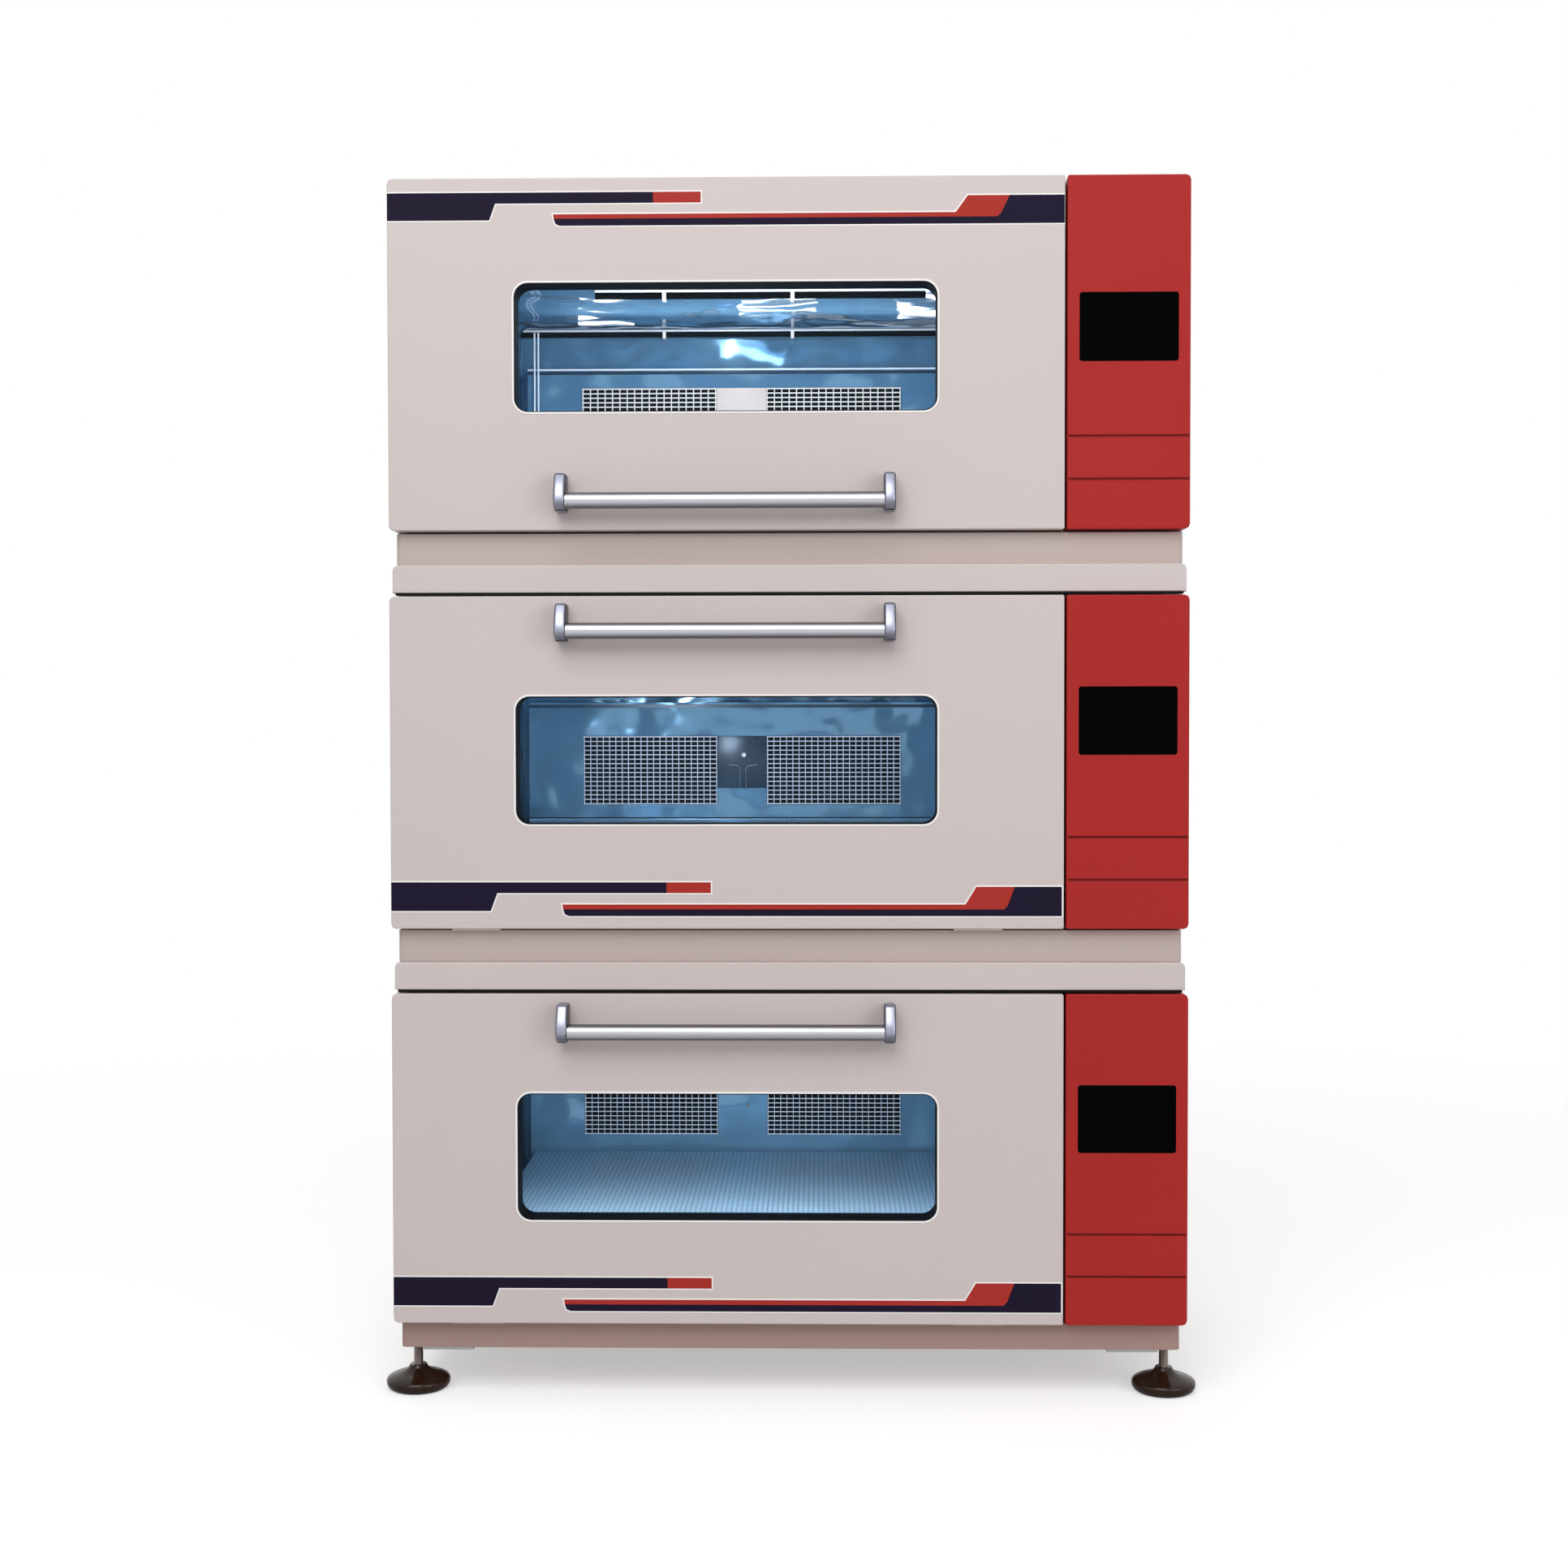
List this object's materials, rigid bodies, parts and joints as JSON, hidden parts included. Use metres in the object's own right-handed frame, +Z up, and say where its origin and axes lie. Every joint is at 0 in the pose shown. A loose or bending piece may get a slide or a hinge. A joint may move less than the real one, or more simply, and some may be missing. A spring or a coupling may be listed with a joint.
{
  "type": "carbon dioxide shaking incubator",
  "caption": "Floor-standing stack of shaking incubators with windowed flap doors, red control panels and orbiting platforms behind the glass.",
  "frame": {"origin": "on the floor under the centre of the stack's bounding box", "axes": "+Z up, -Y towards the person who faces the doors, +X to that person's right"},
  "size_m": [1.384, 0.885, 2.041],
  "materials": {
    "housing_paint": "satin",
    "plinth_paint": "satin",
    "fascia_paint": "satin",
    "display_glass": "gloss",
    "window_glass": "gloss",
    "gasket_rubber": "matte",
    "handle_metal": "satin",
    "stainless": "satin",
    "platform_metal": "satin",
    "drive_steel": "satin",
    "motor_case": "satin",
    "belt_rubber": "matte",
    "fan_metal": "satin",
    "foot_plastic": "gloss"
  },
  "bodies": {
    "stack": {"bottom_plinth": "plinth_paint", "bottom_housing": "housing_paint", "bottom_chamber": "stainless", "bottom_rear_duct": "stainless", "bottom_control_fascia": "fascia_paint", "bottom_display": "display_glass", "bottom_motor": "motor_case", "bottom_drive_belt": "belt_rubber", "middle_plinth": "plinth_paint", "middle_housing": "housing_paint", "middle_chamber": "stainless", "middle_rear_duct": "stainless", "middle_control_fascia": "fascia_paint", "middle_display": "display_glass", "middle_motor": "motor_case", "middle_drive_belt": "belt_rubber", "top_plinth": "plinth_paint", "top_housing": "housing_paint", "top_chamber": "stainless", "top_rear_duct": "stainless", "top_control_fascia": "fascia_paint", "top_display": "display_glass", "top_motor": "motor_case", "top_drive_belt": "belt_rubber", "foot_front_left": "foot_plastic", "foot_front_right": "foot_plastic", "foot_rear_left": "foot_plastic", "foot_rear_right": "foot_plastic"},
    "bottom_door": {"bottom_door_shell": "housing_paint", "bottom_door_glass": "window_glass", "bottom_door_gasket": "gasket_rubber", "bottom_door_handle": "handle_metal"},
    "bottom_drive": {"bottom_drive_eccentric": "drive_steel"},
    "bottom_tray": {"bottom_platform": "platform_metal"},
    "bottom_idler_left": {"bottom_idler_eccentric_left": "drive_steel"},
    "bottom_idler_right": {"bottom_idler_eccentric_right": "drive_steel"},
    "bottom_pulley": {"bottom_motor_pulley": "drive_steel"},
    "bottom_fan": {"bottom_fan_wheel": "fan_metal"},
    "middle_door": {"middle_door_shell": "housing_paint", "middle_door_glass": "window_glass", "middle_door_gasket": "gasket_rubber", "middle_door_handle": "handle_metal"},
    "middle_drive": {"middle_drive_eccentric": "drive_steel"},
    "middle_tray": {"middle_platform": "platform_metal"},
    "middle_idler_left": {"middle_idler_eccentric_left": "drive_steel"},
    "middle_idler_right": {"middle_idler_eccentric_right": "drive_steel"},
    "middle_pulley": {"middle_motor_pulley": "drive_steel"},
    "middle_fan": {"middle_fan_wheel": "fan_metal"},
    "top_door": {"top_door_shell": "housing_paint", "top_door_glass": "window_glass", "top_door_gasket": "gasket_rubber", "top_door_handle": "handle_metal"},
    "top_drive": {"top_drive_eccentric": "drive_steel"},
    "top_tray": {"top_platform": "platform_metal"},
    "top_idler_left": {"top_idler_eccentric_left": "drive_steel"},
    "top_idler_right": {"top_idler_eccentric_right": "drive_steel"},
    "top_pulley": {"top_motor_pulley": "drive_steel"},
    "top_fan": {"top_fan_wheel": "fan_metal"}
  },
  "joints": [
    {"name": "bottom_door_drop", "type": "hinge", "parent": "stack", "child": "bottom_door", "pos_m": [-0.1035, -0.3805, 0.1305], "axis": [1, 0, 0], "range_deg": [0, 90]},
    {"name": "bottom_drive_spin", "type": "hinge", "parent": "stack", "child": "bottom_drive", "pos_m": [-0.1035, -0.0075, 0.187], "axis": [0, 0, 1], "continuous": true},
    {"name": "bottom_tray_orbit", "type": "hinge", "parent": "bottom_drive", "child": "bottom_tray", "pos_m": [-0.0905, -0.0075, 0.187], "axis": [0, 0, 1], "continuous": true},
    {"name": "bottom_idler_left_spin", "type": "hinge", "parent": "stack", "child": "bottom_idler_left", "pos_m": [-0.4035, -0.0075, 0.187], "axis": [0, 0, 1], "continuous": true},
    {"name": "bottom_idler_right_spin", "type": "hinge", "parent": "stack", "child": "bottom_idler_right", "pos_m": [0.1965, -0.0075, 0.187], "axis": [0, 0, 1], "continuous": true},
    {"name": "bottom_motor_spin", "type": "hinge", "parent": "stack", "child": "bottom_pulley", "pos_m": [0.0505, 0.1725, 0.187], "axis": [0, 0, 1], "continuous": true},
    {"name": "bottom_fan_spin", "type": "hinge", "parent": "stack", "child": "bottom_fan", "pos_m": [-0.1035, 0.35, 0.378], "axis": [0, 1, 0], "continuous": true},
    {"name": "middle_door_drop", "type": "hinge", "parent": "stack", "child": "middle_door", "pos_m": [-0.1035, -0.3805, 0.7945], "axis": [1, 0, 0], "range_deg": [0, 90]},
    {"name": "middle_drive_spin", "type": "hinge", "parent": "stack", "child": "middle_drive", "pos_m": [-0.1035, -0.0075, 0.851], "axis": [0, 0, 1], "continuous": true},
    {"name": "middle_tray_orbit", "type": "hinge", "parent": "middle_drive", "child": "middle_tray", "pos_m": [-0.0905, -0.0075, 0.851], "axis": [0, 0, 1], "continuous": true},
    {"name": "middle_idler_left_spin", "type": "hinge", "parent": "stack", "child": "middle_idler_left", "pos_m": [-0.4035, -0.0075, 0.851], "axis": [0, 0, 1], "continuous": true},
    {"name": "middle_idler_right_spin", "type": "hinge", "parent": "stack", "child": "middle_idler_right", "pos_m": [0.1965, -0.0075, 0.851], "axis": [0, 0, 1], "continuous": true},
    {"name": "middle_motor_spin", "type": "hinge", "parent": "stack", "child": "middle_pulley", "pos_m": [0.0505, 0.1725, 0.851], "axis": [0, 0, 1], "continuous": true},
    {"name": "middle_fan_spin", "type": "hinge", "parent": "stack", "child": "middle_fan", "pos_m": [-0.1035, 0.35, 1.042], "axis": [0, 1, 0], "continuous": true},
    {"name": "top_door_lift", "type": "hinge", "parent": "stack", "child": "top_door", "pos_m": [-0.1035, -0.3435, 2.035], "axis": [-1, 0, 0], "range_deg": [0, 90]},
    {"name": "top_drive_spin", "type": "hinge", "parent": "stack", "child": "top_drive", "pos_m": [-0.1035, -0.0075, 1.515], "axis": [0, 0, 1], "continuous": true},
    {"name": "top_tray_orbit", "type": "hinge", "parent": "top_drive", "child": "top_tray", "pos_m": [-0.0905, -0.0075, 1.515], "axis": [0, 0, 1], "continuous": true},
    {"name": "top_idler_left_spin", "type": "hinge", "parent": "stack", "child": "top_idler_left", "pos_m": [-0.4035, -0.0075, 1.515], "axis": [0, 0, 1], "continuous": true},
    {"name": "top_idler_right_spin", "type": "hinge", "parent": "stack", "child": "top_idler_right", "pos_m": [0.1965, -0.0075, 1.515], "axis": [0, 0, 1], "continuous": true},
    {"name": "top_motor_spin", "type": "hinge", "parent": "stack", "child": "top_pulley", "pos_m": [0.0505, 0.1725, 1.515], "axis": [0, 0, 1], "continuous": true},
    {"name": "top_fan_spin", "type": "hinge", "parent": "stack", "child": "top_fan", "pos_m": [-0.1035, 0.35, 1.706], "axis": [0, 1, 0], "continuous": true}
  ],
  "couplings": [
    {"joint": "bottom_tray_orbit", "follows": "bottom_drive_spin", "ratio": -1},
    {"joint": "bottom_idler_left_spin", "follows": "bottom_drive_spin", "ratio": 1},
    {"joint": "bottom_idler_right_spin", "follows": "bottom_drive_spin", "ratio": 1},
    {"joint": "bottom_motor_spin", "follows": "bottom_drive_spin", "ratio": 3.6667},
    {"joint": "middle_tray_orbit", "follows": "middle_drive_spin", "ratio": -1},
    {"joint": "middle_idler_left_spin", "follows": "middle_drive_spin", "ratio": 1},
    {"joint": "middle_idler_right_spin", "follows": "middle_drive_spin", "ratio": 1},
    {"joint": "middle_motor_spin", "follows": "middle_drive_spin", "ratio": 3.6667},
    {"joint": "top_tray_orbit", "follows": "top_drive_spin", "ratio": -1},
    {"joint": "top_idler_left_spin", "follows": "top_drive_spin", "ratio": 1},
    {"joint": "top_idler_right_spin", "follows": "top_drive_spin", "ratio": 1},
    {"joint": "top_motor_spin", "follows": "top_drive_spin", "ratio": 3.6667}
  ]
}
